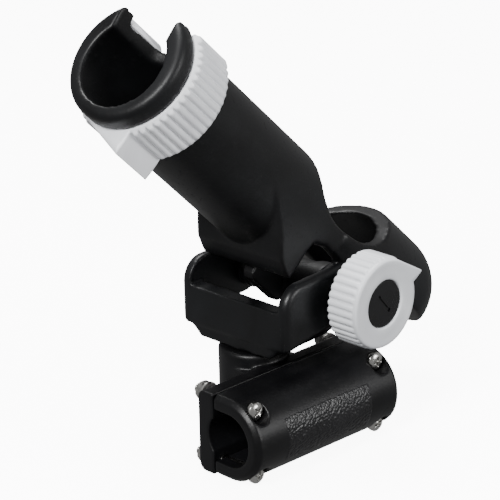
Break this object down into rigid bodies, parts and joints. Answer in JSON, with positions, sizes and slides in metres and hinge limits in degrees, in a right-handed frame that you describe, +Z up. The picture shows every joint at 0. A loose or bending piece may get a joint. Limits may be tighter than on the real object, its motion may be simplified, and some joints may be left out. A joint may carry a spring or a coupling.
{
  "type": "fishing rod holder",
  "caption": "Adjustable fishing rod holder: open-topped tube with a twist lock ring, tilting in a swivelling yoke on a two-jaw rail clamp.",
  "frame": {"origin": "centre of the rail bore, midway along the clamp", "axes": "+X along the rail, +Z up, -Y out through the front jaw; the swivel axis is parallel to Z behind the rear jaw"},
  "size_m": [0.2041, 0.0944, 0.2135],
  "materials": {
    "tube_black": "moulded glass-filled nylon, fine satin grain",
    "hub_black": "moulded glass-filled nylon",
    "lock_disc_acetal": "machined acetal, serrated face",
    "sleeve_steel": "drawn stainless tube",
    "yoke_black": "moulded glass-filled nylon",
    "bolt_steel": "cold-headed stainless, turned shank",
    "washer_steel": "stamped stainless",
    "knob_washer_nylon": "plain moulded nylon",
    "knob_white": "moulded white polymer, satin",
    "insert_brass": "turned brass",
    "cap_black": "moulded plastic, satin",
    "ring_white": "moulded white polymer, satin",
    "jaw_black": "moulded glass-filled nylon, stippled grip panel",
    "rear_jaw_black": "moulded glass-filled nylon",
    "screw_steel": "polished stainless pan heads",
    "nut_steel": "stainless hexagon nuts",
    "thrust_acetal": "plain acetal"
  },
  "bodies": {
    "clamp": {"front_jaw": "jaw_black", "rear_jaw": "rear_jaw_black", "jaw_screws": "screw_steel", "jaw_washers": "washer_steel", "jaw_nuts": "nut_steel", "swivel_bolt": "bolt_steel", "swivel_washer": "washer_steel", "swivel_nut": "nut_steel", "thrust_washer": "thrust_acetal"},
    "yoke": {"yoke": "yoke_black", "pivot_bolt": "bolt_steel", "pivot_washer": "washer_steel", "knob_washer": "knob_washer_nylon"},
    "holder": {"holder_tube": "tube_black", "pivot_hub": "hub_black", "pivot_sleeve": "sleeve_steel", "near_tilt_disc": "lock_disc_acetal", "far_tilt_disc": "lock_disc_acetal"},
    "knob": {"knob_shell": "knob_white", "knob_nut": "insert_brass", "knob_cap": "cap_black"},
    "ring": {"lock_ring": "ring_white"}
  },
  "joints": [
    {"name": "swivel", "type": "hinge", "parent": "clamp", "child": "yoke", "pos_m": [0, 0.0295, 0], "axis": [0, 0, 1], "range_deg": [-3, 176]},
    {"name": "tilt", "type": "hinge", "parent": "yoke", "child": "holder", "pos_m": [0.02844, 0.03129, 0.048], "axis": [-0.0628, 0.998, 0], "range_deg": [-12, 40]},
    {"name": "knob_turn", "type": "hinge", "parent": "yoke", "child": "knob", "pos_m": [0.02844, 0.03129, 0.048], "axis": [0.0628, -0.998, 0], "range_deg": [0, 540]},
    {"name": "ring_lock", "type": "hinge", "parent": "holder", "child": "ring", "pos_m": [-0.05819, 0.02584, 0.1617], "axis": [0.7155, 0.045, -0.6972], "range_deg": [0, 100]}
  ]
}
